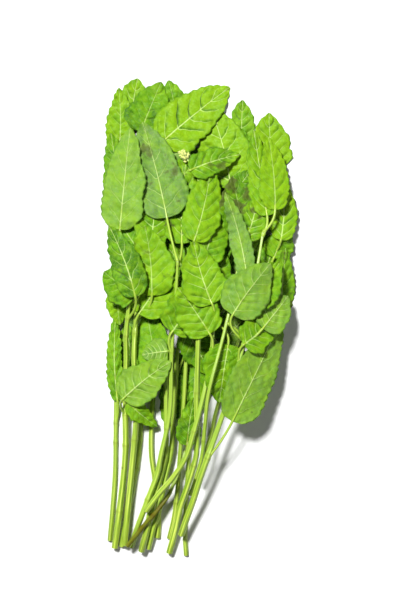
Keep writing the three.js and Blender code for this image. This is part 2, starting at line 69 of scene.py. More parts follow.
# The plan of the bunch, as in the part's source. Places are pixels of the reference picture.
BUNCH_LENGTH = 289.0  # mm
PICTURE_TOP, PICTURE_BOTTOM = 76, 559
PICTURE_CENTRE = np.array([199.34, 316.97])
PICTURE_SIZE = (400, 600)
MM_PER_PIXEL = BUNCH_LENGTH / (PICTURE_BOTTOM - PICTURE_TOP)
STEM_TIP_RADIUS = 0.9
STEM_STATIONS = 12
PETIOLE_REACH = 14.0  # how far behind a blade its petiole looks for the stem
LONG_PETIOLE, SHORT_PETIOLE = 26.0, 3.0
PETIOLE_HALF_WIDTH = 0.8
PETIOLE_THICKNESS = 1.4
PETIOLE_STATIONS = (0.0, 0.55)
TIP_HALF_WIDTH = 0.45
TOOTH_DEPTH, TOOTH_LEAN = 0.085, 0.35
BLADE_STEP, FEWEST_STATIONS, MOST_STATIONS = 5.2, 6, 12
BASE_FULLNESS, TIP_FULLNESS = 0.34, 0.72
SOLID_BLADE = 0.8  # thickness of a blade in the frame
SOLID_MIDRIB = 0.35  # how far a midrib stands out in the frame
BUD_SPIKE_LENGTH = 8.0
GOLDEN_ANGLE = math.pi * (3 - math.sqrt(5))

# The finer pieces. Lengths are in mm.
LOWEST, LOWEST_BLADE = 0.02, 0.2  # how far above the floor any point and the middle of a blade stay
VEIN_CURVE = 1.25  # how a side vein bends to the tip
VEIN_SLANT = 0.8  # distance square to the side veins, as a share of that along the midrib
TOOTH_PEAK = 0.72  # where along its length a tooth is highest
NARROWEST_HALF = 0.3
ROW_STEP, FEWEST_ROWS = 0.6, 36
WIDE_BLADE, WIDE_COLUMNS, SLIM_COLUMNS = 17, 27, 19
CRUMPLE_SIZES = (12.0, 4.6)
STEM_RINGS = 260
STALK_RINGS, RIB_RINGS = 22, 13  # rings of a petiole, and of its run along a blade
STALK_SIDES = 10
STEM_TWIST = 0.6
PETIOLE_LIFT = 0.15  # how far a petiole's middle lies above that of the blade
RIB_SINK = 0.55  # how far it sinks into the blade of a leaf that faces up
RIB_RUN = 0.3  # the share of a blade that its petiole runs along
# The rings that close a cut end: how far past it, and the share of its radius.
CUT_RINGS = ((0.06, 0.0), (0.11, 0.62), (0.17, 0.9), (0.07, 1.0))
INNER_RINGS = ((0.0, 0.0),)  # the same for an end that lies inside a stem
# The rings that close a tip: how far past it and how wide, both as shares of its radius.
TIP_RINGS = ((0.45, 0.7), (0.6, 0.0))
LEAF_SEED, BUD_SEED = 100, 12

# The stage. Lengths are in metres, and the height of the camera's sensor is in mm.
FLOOR_SIZE = 24
KEY_PLACE, KEY_SIZE = (-0.95, 1.37, 3.05), 0.5
FILL_PLACE, FILL_SIZE = (1.6, -0.6, 2.0), 1.2
SENSOR_HEIGHT = 36.0

UP, DOWN = 1, -1  # which way the upper side of a leaf faces

# One row for each leafy stem, lowest first: stem points from the cut end, radius there, brownness,
# then its leaves: base, tip, width in mm, tone from dark 0 to lime 1, and for some of them facing,
# bruising, sideways bow as a share of the length, and how far back the petiole meets the stem.
LEAFY_STEMS = [
    ([(186, 558), (185, 535), (187, 485), (193, 420), (208, 345), (230, 262), (243, 190),
      (244, 152)], 1.5, 0.1, [
      ((241, 148), (243, 98), 17, 0.5, UP, 0.4),
      ((254, 172), (240, 126), 15, 0.5, UP, 0.1),
      ((236, 232), (200, 184), 23, 0.35, DOWN),
      ((248, 214), (284, 170), 22, 0.45, DOWN),
      ((222, 302), (188, 254), 23, 0.4),
      ((238, 280), (278, 240), 24, 0.35, DOWN, 0.2),
      ((222, 345), (262, 304), 24, 0.45, DOWN)]),
    ([(169, 541), (174, 519), (177, 495), (179, 468), (184, 400), (188, 320), (190, 240),
      (186, 160), (178, 132)], 1.6, 0.15, [
      ((177, 128), (168, 78), 19, 0.3),
      ((190, 182), (226, 136), 22, 0.6, DOWN),
      ((186, 196), (152, 152), 23, 0.4, DOWN),
      ((194, 256), (232, 208), 23, 0.35, UP, 0.3),
      ((187, 284), (152, 238), 24, 0.4, DOWN),
      ((198, 348), (193, 422), 24, 0.28),
      ((178, 374), (167, 430), 17, 0.22)]),
    ([(157, 540), (158, 522), (157, 495), (151, 455), (152, 410), (156, 350), (154, 300),
      (150, 220), (140, 160), (134, 134)], 1.8, 0.1, [
      ((131, 126), (137, 76), 23, 0.75),
      ((147, 176), (180, 134), 22, 0.45, DOWN),
      ((144, 190), (110, 148), 22, 0.4),
      ((151, 256), (118, 208), 24, 0.4, DOWN),
      ((155, 270), (191, 218), 24, 0.45),
      ((154, 334), (126, 288), 24, 0.4, DOWN)]),
    ([(121, 549), (130, 500), (138, 455), (141, 410), (141, 360), (144, 329), (140, 260),
      (128, 190), (120, 160)], 1.8, 0, [
      ((118, 152), (118, 86), 17, 0.82),
      ((130, 208), (107, 162), 20, 0.6),
      ((139, 236), (166, 188), 22, 0.5),
      ((131, 380), (124, 322), 14, 0.35)]),
    ([(109, 543), (114, 482), (115, 434), (116, 367), (118, 300), (119, 235), (115, 182)],
     1.6, 0.1, [
      ((117, 402), (116, 310), 10, 0.5),
      ((117, 290), (119, 325), 14, 0.7),
      ((117, 186), (110, 132), 14, 0.35)]),
    ([(190, 497), (205, 455), (212, 434), (217, 410), (238, 345), (262, 275), (276, 225),
      (281, 190)], 1.4, 0, [
      ((264, 264), (238, 214), 22, 0.5, UP, 0.6),
      ((262, 280), (274, 238), 18, 0.32, UP, 0.6),
      ((274, 258), (290, 226), 18, 0.6),
      ((282, 314), (286, 248), 15, 0.45, UP, 0.8),
      ((281, 240), (285, 182), 16, 0.85),
      ((276, 168), (270, 111), 24, 0.93, UP, 0.1)]),
    ([(148, 551), (153, 529), (158, 515), (165, 480), (171, 452), (174, 410), (176, 377),
      (178, 350), (190, 285), (205, 220), (221, 176)], 1.8, 0, [
      ((196, 286), (163, 242), 24, 0.6),
      ((201, 262), (235, 218), 23, 0.45, UP, 0.3),
      ((186, 330), (210, 376), 20, 0.35),
      ((231, 187), (209, 103), 30, 0.97)]),
    ([(141, 553), (147, 529), (151, 509), (162, 472), (166, 450), (166, 410), (167, 360),
      (175, 310), (181, 266)], 2.0, 0.1, [
      ((160, 368), (147, 312), 22, 0.5),
      ((176, 314), (147, 268), 24, 0.6),
      ((190, 304), (227, 256), 26, 0.62)]),
    ([(124, 547), (129, 495), (133, 455), (136, 413), (134, 360), (135, 331), (138, 300),
      (142, 250), (146, 200), (148, 172)], 1.9, 0, [
      ((138, 248), (116, 214), 20, 0.4, UP, 0.2),
      ((150, 246), (154, 200), 20, 0.45, UP, 0.1),
      ((140, 131), (161, 80), 24, 0.27),
      ((139, 314), (178, 262), 26, 0.72),
      ((152, 296), (145, 226), 27, 0.84, UP, 0.5),
      ((161, 142), (230, 85), 30, 1.0, UP, 0, 0.03)]),
    ([(131, 549), (137, 529), (147, 502), (157, 475), (161, 455), (170, 410), (172, 350),
      (176, 300), (178, 262)], 1.9, 0, [
      ((168, 351), (142, 355), 16, 0.6, DOWN),
      ((172, 332), (202, 286), 24, 0.58),
      ((182, 244), (188, 150), 22, 0.62, UP, 0.7),
      ((167, 218), (142, 121), 30, 0.29, DOWN, 0.6, -0.03)]),
    ([(127, 547), (147, 522), (153, 516), (167, 498), (172, 488), (179, 472), (185, 452)],
     1.5, 1.0, [
      ((187, 446), (194, 398), 14, 0.25, UP, 0.2)]),
    ([(169, 555), (175, 532), (180, 509), (187, 488), (194, 465), (197, 446), (197, 400),
      (198, 350), (199, 300), (199, 240), (202, 200), (196, 172), (181, 151)], 2.1, 0, [
      ((202, 262), (221, 214), 22, 0.45, UP, 0.1),
      ((194, 242), (211, 165), 22, 0.74, UP, 0.2),
      ((190, 171), (240, 154), 16, 0.42, UP, 0.55, None, SHORT_PETIOLE)]),
    ([(114, 550), (121, 495), (125, 452), (125, 410), (126, 360), (126, 335), (129, 303),
      (128, 270), (121, 240)], 2.0, 0, [
      ((128, 402), (157, 427), 11, 0.6),
      ((120, 230), (130, 127), 25, 0.72, DOWN, 0.35),
      ((137, 294), (104, 272), 24, 0.48, UP, 0.1),
      ((136, 297), (109, 226), 19, 0.12),
      ((123, 399), (171, 361), 23, 0.85, DOWN)]),
    ([(146, 511), (160, 492), (172, 478), (186, 456), (195, 427), (204, 393), (210, 360),
      (212, 345), (214, 300), (212, 260)], 1.8, 0, [
      ((228, 344), (219, 402), 24, 0.62),
      ((210, 334), (178, 288), 25, 0.66),
      ((212, 304), (194, 242), 25, 0.74, UP, 0.1)]),
    ([(196, 478), (202, 455), (205, 424), (209, 390), (222, 340), (234, 290), (240, 250),
      (240, 214)], 1.3, 0, [
      ((243, 350), (236, 402), 16, 0.4),
      ((236, 192), (251, 170), 13, 0.15, UP, 0.2),
      ((245, 234), (233, 176), 23, 0.35, UP, 1.0),
      ((246, 240), (258, 194), 17, 0.56, UP, 0.75)]),
    ([(181, 536), (187, 518), (194, 498), (200, 478), (208, 455), (218, 427), (225, 407),
      (232, 387), (245, 335), (255, 280), (263, 232)], 2.1, 0, [
      ((232, 420), (281, 320), 26, 0.8, DOWN, 0.2, 0.0, LONG_PETIOLE),
      ((243, 344), (274, 318), 20, 0.6, UP, 0.1),
      ((262, 328), (288, 296), 20, 0.66, DOWN),
      ((254, 306), (280, 262), 21, 0.52, UP, 0.1),
      ((247, 282), (225, 193), 13, 0.42, DOWN, 0.3),
      ((232, 315), (270, 264), 27, 0.66, DOWN, 0.45),
      ((267, 216), (254, 129), 17, 0.66, UP, 0.25),
      ((275, 210), (269, 136), 18, 0.9, UP, 0.15)]),
]
CREASED_TONE = 0.94  # leaves brighter than this have every crease
BUDDED_STEM = 11  # the row whose tip carries the flower buds
# The picture rows at which each stem has a joint, in the same order.
STEM_JOINTS = [(492, 400), (505, 430), (480,), (470, 395), (444, 350), (452,), (450, 384), (458,),
               (440, 331), (500, 428), (516,), (465, 392), (336, 447, 513), (430, 355), (440,),
               (453, 395)]


# Plan curves.

def plan(place):
    column, row = np.asarray(place, float) - PICTURE_CENTRE
    return np.array([column * MM_PER_PIXEL, -row * MM_PER_PIXEL])


def mm(metres):
    return metres * 1000


def unit(vectors):
    return vectors / np.maximum(np.linalg.norm(vectors, axis=-1, keepdims=True), 1e-12)


def left_of(directions):
    return np.stack([-directions[..., 1], directions[..., 0]], -1)


def spline(points, shares):
    """Points on the uniform Catmull-Rom line through the given points."""
    points = np.asarray(points, float)
    ends = [2 * points[:1] - points[1:2], points, 2 * points[-1:] - points[-2:-1]]
    points = np.concatenate(ends)
    at = np.clip(np.asarray(shares, float), 0, 1) * (len(points) - 3)
    first = np.minimum(at.astype(int), len(points) - 4)
    x = (at - first).reshape((-1,) + (1,) * (points.ndim - 1))
    a, b, c, d = (points[first + k] for k in range(4))
    start, end = (c - a) / 2, (d - b) / 2
    square = -3 * b + 3 * c - 2 * start - end
    cube = 2 * b - 2 * c + start + end
    return b + start * x + square * x**2 + cube * x**3


def bow_curve(a, b, c, shares):
    """Points and directions on a quadratic Bezier curve."""
    t = np.asarray(shares, float).reshape(-1, 1)
    points = (1 - t) ** 2 * a + 2 * t * (1 - t) * b + t**2 * c
    return points, unit((1 - t) * (b - a) + t * (c - b))


def blade_outline(shares):
    def raw(t):
        return t**BASE_FULLNESS * np.maximum(1 - t, 0) ** TIP_FULLNESS
    return raw(np.asarray(shares, float)) / raw(BASE_FULLNESS / (BASE_FULLNESS + TIP_FULLNESS))


def smooth(low, high, x):
    t = np.clip((x - low) / (high - low), 0, 1)
    return t * t * (3 - 2 * t)


# Heights, read from the frame's vertices at the plan places that the solids were laid out with.

def corners_of(mesh):
    corners = np.empty(len(mesh.vertices) * 3)
    mesh.vertices.foreach_get("co", corners)
    return corners.reshape(-1, 3)


class SolidHeights:
    """Looks up how high a leafy stem's solid is at one of its own corners, in mm."""

    def __init__(self, node):
        corners = mm(corners_of(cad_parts[node].data))
        self.corners = np.unique(np.round(corners, 3), axis=0)

    def at(self, place, near=0.03):
        gaps = np.abs(self.corners[:, :2] - place).max(1)
        return np.unique(self.corners[gaps < near, 2])

    def underside(self, place, thickness):
        heights = self.at(place)
        if len(heights) < 2:
            return np.nan
        low, high = np.triu_indices(len(heights), 1)
        pair = np.argmin(np.abs(heights[high] - heights[low] - thickness))
        low, high = heights[low[pair]], heights[high[pair]]
        return low if abs(high - low - thickness) < 0.1 else np.nan


def filled(heights, shares):
    """Heights with the missing ones taken from their neighbours along the piece."""
    known = ~np.isnan(heights)
    if not known.any():
        raise RuntimeError("a leaf has no corner in the frame: its plan differs from the solids")
    return np.interp(shares, shares[known], heights[known])


class StemLine:
    """A stem's middle line in plan, with its heights and radii."""

    def __init__(self, points, radius, solid):
        self.points = np.array([plan(p) for p in points])
        self.radius = radius
        shares = np.linspace(0, 1, STEM_STATIONS)
        middles = spline(self.points, shares)
        ahead = spline(self.points, np.minimum(shares + 1e-4, 1))
        behind = spline(self.points, np.maximum(shares - 1e-4, 0))
        sides = left_of(unit(ahead - behind))
        heights = []
        for middle, side, wide in zip(middles, sides, self.radii(shares)):
            found = [solid.at(middle + turn * side * wide) for turn in (1, -1)]
            found = [h.mean() for h in found if len(h) == 2]
            heights.append(np.mean(found) if found else np.nan)
        self.shares = shares
        self.heights = filled(np.array(heights), shares)

    def radii(self, shares):
        return self.radius + (STEM_TIP_RADIUS - self.radius) * np.asarray(shares) ** 2

    def middle(self, shares):
        return np.column_stack([spline(self.points, shares), spline(self.heights, shares)])

    def nearest_share(self, place):
        shares = np.linspace(0, 1, 201)
        return shares[np.argmin(np.linalg.norm(spline(self.points, shares) - place, axis=1))]


class LeafPlan:
    """A leaf's midrib and petiole in plan, with the heights of its blade at three lines along it."""

    def __init__(self, number, stem, solid, base, tip, width, tone, facing=UP, bruise=0, bow=None,
                 petiole=PETIOLE_REACH):
        self.number, self.width = number, width
        self.tone, self.facing, self.bruise = tone, facing, bruise
        self.base, self.tip = plan(base), plan(tip)
        self.length = np.linalg.norm(self.tip - self.base)
        along = unit(self.tip - self.base)
        sway = self.length * (0.07 * math.sin(2.4 * number) if bow is None else bow)
        self.control = (self.base + self.tip) / 2 + left_of(along) * sway
        start = unit(self.control - self.base)
        self.root_share = stem.nearest_share(self.base - start * petiole)
        self.root = stem.middle([self.root_share])[0]
        reach = np.linalg.norm(self.root[:2] - self.base)
        self.pull = self.base - start * 0.5 * reach
        self.read_heights(solid)

    def read_heights(self, solid):
        count = int(np.clip(int(self.length / BLADE_STEP + 0.5) + 1, FEWEST_STATIONS, MOST_STATIONS))
        shares = np.linspace(0, 1, count)
        inner = (np.arange(count) > 0) & (np.arange(count) < count - 1)
        least = np.where(np.arange(count) > 0, TIP_HALF_WIDTH, PETIOLE_HALF_WIDTH)
        halves = np.maximum(self.width / 2 * blade_outline(shares), least)
        middles, directions = bow_curve(self.base, self.control, self.tip, shares)
        middle = np.array([solid.underside(p, SOLID_BLADE + SOLID_MIDRIB) for p in middles])
        self.shares = shares
        self.middle_heights = filled(middle, shares)
        self.edges = []
        for side, sign in ((0, 1), (1, -1)):
            odd = inner & ((np.arange(count) + side) % 2 == 1)
            tooth = np.where(inner, np.where(odd, 1 + TOOTH_DEPTH, 1 - TOOTH_DEPTH), 1)
            lean = np.where(odd, TOOTH_LEAN / (count - 1), 0)
            places = middles + sign * left_of(directions) * (halves * tooth)[:, None]
            places = places + directions * (lean * self.length)[:, None]
            heights = np.array([solid.underside(p, SOLID_BLADE) for p in places])
            rises = filled(heights - self.middle_heights, shares)
            self.edges.append((np.minimum(shares + lean, 1), rises))
        neck, _ = bow_curve(self.root[:2], self.pull, self.base, PETIOLE_STATIONS[1:])
        self.neck_height = solid.underside(neck[0], PETIOLE_THICKNESS + SOLID_MIDRIB)

    def midline(self, shares):
        return spline(self.middle_heights, shares)

    def rise(self, shares, across):
        """How far the blade stands above its midrib, from its right edge at -1 to its left at 1."""
        left, right = (np.interp(shares, *edge) for edge in self.edges)
        left, right = left[:, None], right[:, None]
        crease = 0.18
        fold = (np.sqrt(across**2 + crease**2) - crease) / (math.sqrt(1 + crease**2) - crease)
        return (left - right) / 2 * across + (left + right) / 2 * fold


def read_bunch():
    """The plan of every leafy stem, with its heights from the frame."""
    bunch, number = [], 0
    for index, (points, radius, brown, rows) in enumerate(LEAFY_STEMS):
        node = f"leafy_stem_{index + 1:02d}"
        solid = SolidHeights(node)
        stem = StemLine(points, radius, solid)
        leaves = [LeafPlan(number + k, stem, solid, *row) for k, row in enumerate(rows)]
        number += len(rows)
        bunch.append({"node": node, "stem": stem, "brown": brown, "leaves": leaves, "index": index})
    return bunch


BUNCH = read_bunch()


# Mesh helpers.

def start_grid(columns, rows):
    """A new grid with that many points across and along, alone in the selection."""
    bpy.ops.object.select_all(action="DESELECT")
    bpy.ops.mesh.primitive_grid_add(x_subdivisions=columns - 1, y_subdivisions=rows - 1, size=2)
    sheet = bpy.context.active_object
    corners = np.round(corners_of(sheet.data), 5)
    if len(corners) != columns * rows:
        raise RuntimeError(f"the grid has {len(corners)} points, not {columns * rows}")
    order = np.lexsort((corners[:, 0], corners[:, 1]))
    return sheet, order


def set_values(mesh, name, values):
    """Gives each point of a mesh three named values for its finish."""
    named = mesh.attributes.new(name, "FLOAT_VECTOR", "POINT")
    named.data.foreach_set("vector", values.ravel())


def set_points(sheet, order, points, uvs, values):
    """Moves a grid's points, given row by row in mm, and gives each a UV place and named values."""
    mesh = sheet.data
    count = len(mesh.vertices)
    placed = np.empty((count, 3))
    placed[order] = points.reshape(-1, 3) * MM
    mesh.vertices.foreach_set("co", placed.ravel())
    place = np.empty((count, 2))
    place[order] = uvs.reshape(-1, 2)
    corner_of = np.empty(len(mesh.loops), int)
    mesh.loops.foreach_get("vertex_index", corner_of)
    mesh.uv_layers.active.data.foreach_set("uv", place[corner_of].ravel())
    for name, value in values.items():
        spread = np.empty((count, 3))
        spread[order] = np.broadcast_to(value, points.shape).reshape(-1, 3)
        set_values(mesh, name, spread)
    mesh.update()


def close_seams():
    """Merges the edges of the rolled grid in hand and turns its faces outwards."""
    bpy.ops.object.mode_set(mode="EDIT")
    bpy.ops.mesh.select_all(action="SELECT")
    bpy.ops.mesh.remove_doubles(threshold=2e-6)
    bpy.ops.mesh.normals_make_consistent(inside=False)
    bpy.ops.object.mode_set(mode="OBJECT")


def joined(pieces, name, finish=None):
    """One smooth object from several, with its place in its mesh and, if given, one finish."""
    bpy.ops.object.select_all(action="DESELECT")
    for piece in pieces:
        piece.select_set(True)
    bpy.context.view_layer.objects.active = pieces[0]
    if len(pieces) > 1:
        bpy.ops.object.join()
    whole = bpy.context.active_object
    whole.name = whole.data.name = name
    bpy.ops.object.transform_apply(location=True, rotation=True, scale=True)
    bpy.ops.object.shade_smooth()
    if finish:
        whole.data.materials.clear()
        whole.data.materials.append(finish)
    return whole


def walk(middles):
    """How far along a line each of its points lies."""
    return np.concatenate([[0], np.cumsum(np.linalg.norm(np.diff(middles, axis=0), axis=1))])


def tube_frames(middles):
    """The directions along, across and over a line of middles."""
    along = unit(np.gradient(middles, axis=0))
    across = unit(np.column_stack([left_of(along[:, :2]), np.zeros(len(along))]))
    return along, across, np.cross(along, across)


def roll_tube(middles, radii, sides, looks, start_rings, ribs=0.0, twist=0.0):
    """A tube round a line, closed by the given rings at its start and by a rounded tip at its end."""
    start, end = unit(middles[0] - middles[1]), unit(middles[-1] - middles[-2])
    head = [middles[0] + start * past for past, _ in start_rings]
    tail = [middles[-1] + end * past * radii[-1] for past, _ in TIP_RINGS]
    head_radii = [radii[0] * share for _, share in start_rings]
    tail_radii = [radii[-1] * share for _, share in TIP_RINGS]
    head_looks = [(0, 0, 1)] * (len(head) - 1) + [(0, 0, 0)]
    middles = np.array([*head, *middles, *tail])
    radii = np.array([*head_radii, *radii, *tail_radii])
    looks = np.array([*head_looks, *looks, *[(0, 1, 0)] * len(tail)], float)

    _, across, over = tube_frames(middles)
    turns = np.linspace(0, 2 * math.pi, sides + 1)
    ring = 1 + ribs * (np.cos(4 * turns) - 1)
    angle = (turns + twist * np.linspace(0, 1, len(middles))[:, None])[..., None]
    outward = np.cos(angle) * across[:, None] + np.sin(angle) * over[:, None]
    points = middles[:, None] + (radii[:, None] * ring)[..., None] * outward
    points[..., 2] = np.maximum(points[..., 2], LOWEST)
    uvs = np.stack(np.broadcast_arrays(turns / (2 * math.pi), walk(middles)[:, None] / UV_MM), -1)
    tube, order = start_grid(sides + 1, len(middles))
    set_points(tube, order, points, uvs, {"stem_look": looks[:, None]})
    close_seams()
    return tube


# Materials.

MIX_SHARE, MIX_BASE, MIX_LAYER, MIX_RESULT = 0, 6, 7, 2  # sockets of a mix of colours


def reckon(operation):
    return lambda wire, *other: wire.shader.math(operation, wire, *other)


class Wire:
    """A node's output, to reckon with as with a number."""

    __add__, __sub__ = reckon("ADD"), reckon("SUBTRACT")
    __mul__, __truediv__ = reckon("MULTIPLY"), reckon("DIVIDE")
    __pow__, __abs__ = reckon("POWER"), reckon("ABSOLUTE")

    def __init__(self, shader, socket):
        self.shader = shader
        self.socket = socket

    def __rsub__(self, other):
        return self.shader.math("SUBTRACT", other, self)


class Shader:
    """Short calls for wiring a material's nodes."""

    def __init__(self, name):
        self.material = bpy.data.materials.new(name)
        self.material.use_nodes = True
        self.tree = self.material.node_tree
        self.surface = self.tree.nodes["Principled BSDF"]

    def node(self, kind, inputs=(), **settings):
        node = self.tree.nodes.new(kind)
        for key, value in settings.items():
            setattr(node, key, value)
        for key, value in dict(inputs).items():
            self.feed(node.inputs[key], value)
        return node

    def wire(self, kind, inputs=(), output=0, **settings):
        return Wire(self, self.node(kind, inputs, **settings).outputs[output])

    def feed(self, socket, value):
        if isinstance(value, Wire):
            self.tree.links.new(value.socket, socket)
        else:
            socket.default_value = value

    def set(self, **values):
        for name, value in values.items():
            self.feed(self.surface.inputs[name.replace("_", " ")], value)

    def uv(self):
        return self.wire("ShaderNodeUVMap")

    def place(self):
        return self.wire("ShaderNodeTexCoord", output="Object")

    def attribute(self, name):
        return self.split(self.wire("ShaderNodeAttribute", output="Vector", attribute_name=name))

    def split(self, vector):
        outputs = self.node("ShaderNodeSeparateXYZ", {0: vector}).outputs
        return [Wire(self, output) for output in outputs]

    def scaled(self, vector, scale):
        return self.wire("ShaderNodeMapping", {"Vector": vector, "Scale": scale})

    def math(self, operation, *values, clamp=False):
        inputs = dict(enumerate(values))
        return self.wire("ShaderNodeMath", inputs, operation=operation, use_clamp=clamp)

    def step(self, low, high, value, out_low=0.0, out_high=1.0):
        """Runs smoothly from out_low to out_high while the value runs from low to high."""
        inputs = {"Value": value, "From Min": low, "From Max": high}
        inputs.update({"To Min": out_low, "To Max": out_high})
        return self.wire("ShaderNodeMapRange", inputs, interpolation_type="SMOOTHSTEP")

    def noise(self, where, scale, detail=3.0, roughness=0.55):
        inputs = {"Vector": where, "Scale": scale, "Detail": detail, "Roughness": roughness}
        return self.wire("ShaderNodeTexNoise", inputs)

    def dots(self, where, scale, widths, chosen, strength):
        """Small round spots in some of the cells that fill the piece."""
        cells = self.node("ShaderNodeTexVoronoi", {"Vector": where, "Scale": scale})
        lot = self.split(Wire(self, cells.outputs["Color"]))[0]
        away = Wire(self, cells.outputs["Distance"])
        return self.step(*widths, away) * self.step(*chosen, lot, 0.0, strength)

    def ramp(self, value, stops):
        node = self.node("ShaderNodeValToRGB", {0: value})
        elements = node.color_ramp.elements
        while len(elements) < len(stops):
            elements.new(0.5)
        for element, (place, colour) in zip(elements, stops):
            element.position, element.color = place, rgba(colour)
        return Wire(self, node.outputs[0])

    def layers(self, base, *layers):
        """The base with shares of colours laid over it, one after the other."""
        for share, colour in layers:
            inputs = {MIX_SHARE: share, MIX_BASE: base, MIX_LAYER: rgba(colour)}
            base = self.wire("ShaderNodeMix", inputs, MIX_RESULT, data_type="RGBA")
        return base

    def bump(self, height, strength, distance):
        inputs = {"Height": height, "Strength": strength, "Distance": distance}
        self.set(Normal=self.wire("ShaderNodeBump", inputs))

    def glow(self, weight, radius):
        """Lets a share of the light run on under the skin for about a millimetre."""
        self.set(Subsurface_Weight=weight, Subsurface_Radius=radius, Subsurface_Scale=MM)


def rgba(colour):
    return (*colour[:3], 1.0)


def leaf_finish(name, look, underside):
    """A leaf's upper or lower skin: its green, pale patches that are partly painted sheen, midrib,
    side veins, fine net, bruises, and painted shade in its pleats, in its creases and along its edge.
    """
    s = Shader(name)
    across, along, length = s.attribute("leaf_place")
    tone, bruise, shade_and_vein_strength = s.attribute("leaf_look")
    uv = s.uv()
    where = s.place()

    out = abs(across)
    phase = (along - out**VEIN_CURVE * look.vein_sweep) * float(look.side_veins)
    phase = phase + (s.noise(where, 130.0, 1.0) - 0.5) * 0.6
    past_vein = s.math("FRACT", phase) - 0.5
    between = abs(past_vein)
    vein_gap = length * (UV_MM * VEIN_SLANT / look.side_veins)
    pleat_mm = past_vein * vein_gap
    # Painted shade: a dark band just past one side of each side vein stands for the shade that falls
    # in its pleat.
    pleat_shade = s.step(0.1, 0.5, pleat_mm) * s.step(2.6, 0.5, pleat_mm)
    pleat_shade = pleat_shade * s.step(0.4, 0.62, s.noise(where, 110.0, 2.0)) * s.step(0.98, 0.6, out)
    vein_width = s.step(0.0, 1.0, out, 0.42, 0.12)
    side_vein = s.step(1.0, 0.2, between * vein_gap / vein_width) * s.step(0.95, 0.55, out)
    midrib_width = s.step(0.0, 1.0, along, mm(look.midrib_width), 0.16)
    midrib = s.step(1.0, 0.5, abs(s.split(uv)[0]) * UV_MM / midrib_width)
    edges = {"feature": "DISTANCE_TO_EDGE", "voronoi_dimensions": "2D"}
    net = s.wire("ShaderNodeTexVoronoi", {"Vector": uv, "Scale": 52.0}, **edges)
    net = s.step(0.1, 0.0, net)

    broad = (s.noise(where, 75.0, 4.0, 0.6) - 0.5) * 1.3
    small = (s.noise(where, 250.0, 4.0, 0.68) - 0.5) * 1.6
    shade = s.math("ADD", tone, broad + small, clamp=True)
    green = s.ramp(shade, [(0.0, look.dark), (0.35, look.deep), (0.68, look.fresh), (1.0, look.lime)])
    if underside:
        paleness = s.step(0.3, 0.8, tone, look.underside_paleness, 0.6 * look.underside_paleness)
        patchy = s.step(0.32, 0.68, s.noise(where, 190.0, 3.0, 0.6), 0.6, 1.2)
        green = s.layers(green, (paleness * patchy, look.underside))
    faint, strong = (0.28, 0.6) if underside else (0.08, 0.5)
    plain, bright = (0.6, 0.8) if underside else (0.4, 0.75)
    green = s.layers(
        green,
        (s.step(0.4, 0.75, s.noise(where, 700.0, 2.0), 0.0, 0.22), look.lime),
        # Pale patches: partly the bloom of the leaf's fine hairs, partly painted sheen.
        (s.step(0.45, 0.72, s.noise(where, 140.0, 3.0, 0.5), 0.0, 0.4), look.sunlit),
        # painted shade of the pleats, in the darkest green
        (pleat_shade * shade_and_vein_strength, look.dark),
        (net * 0.25, look.sunlit),
        (side_vein * s.step(0.25, 0.9, shade_and_vein_strength, faint, strong), look.vein),
        (midrib * s.step(0.25, 0.9, shade_and_vein_strength, plain, bright), look.vein))
    # Painted shade: a dark line along each creased side vein stands for the shade that falls in the
    # fold.
    for k in range(look.creases):
        place, first, last = s.attribute(f"leaf_crease_{k}")
        side = across * s.math("SIGN", place)
        line = s.step(0.55, 0.1, abs(phase - abs(place)) * vein_gap)
        line = line * s.step(0.0, 0.12, side - first) * s.step(0.0, 0.4, last - side)
        green = s.layers(green, (line * shade_and_vein_strength, look.crease))
    wilt = s.step(0.0, 0.1, s.noise(where, 95.0, 5.0, 0.62) - (0.72 - bruise * 0.27))
    wilt = wilt * s.step(0.0, 0.9, bruise, 0.35, 0.88) * s.step(0.0, 0.1, bruise)
    green = s.layers(
        green,
        # The margin darkened: partly the leaf's own darker edge, partly painted shade for the shadow
        # along overlapping edges.
        (s.step(0.9, 1.0, out, 0.0, 0.45), look.dark),
        (wilt, look.bruised),
        (s.dots(where, 95.0, (0.085, 0.035), (0.6, 0.75), 0.7), look.bruised))

    relief = s.step(0.0, 0.5, between) * 0.35 + net * -0.3
    relief = relief + midrib * (1.0 if underside else -0.6)
    relief = relief + side_vein * (0.5 if underside else -0.4)
    s.bump(relief + s.noise(where, 330.0, 3.0) * 0.9, 0.7, 0.0006)
    low, high = (0.5, 0.66) if underside else (0.42, 0.6)
    s.set(Base_Color=green, Roughness=s.step(0.2, 0.8, s.noise(where, 160.0, 2.0), low, high))
    s.set(Specular_IOR_Level=0.2 if underside else 0.14)
    s.glow(look.glow, (0.6, 1.0, 0.1))
    return s.material


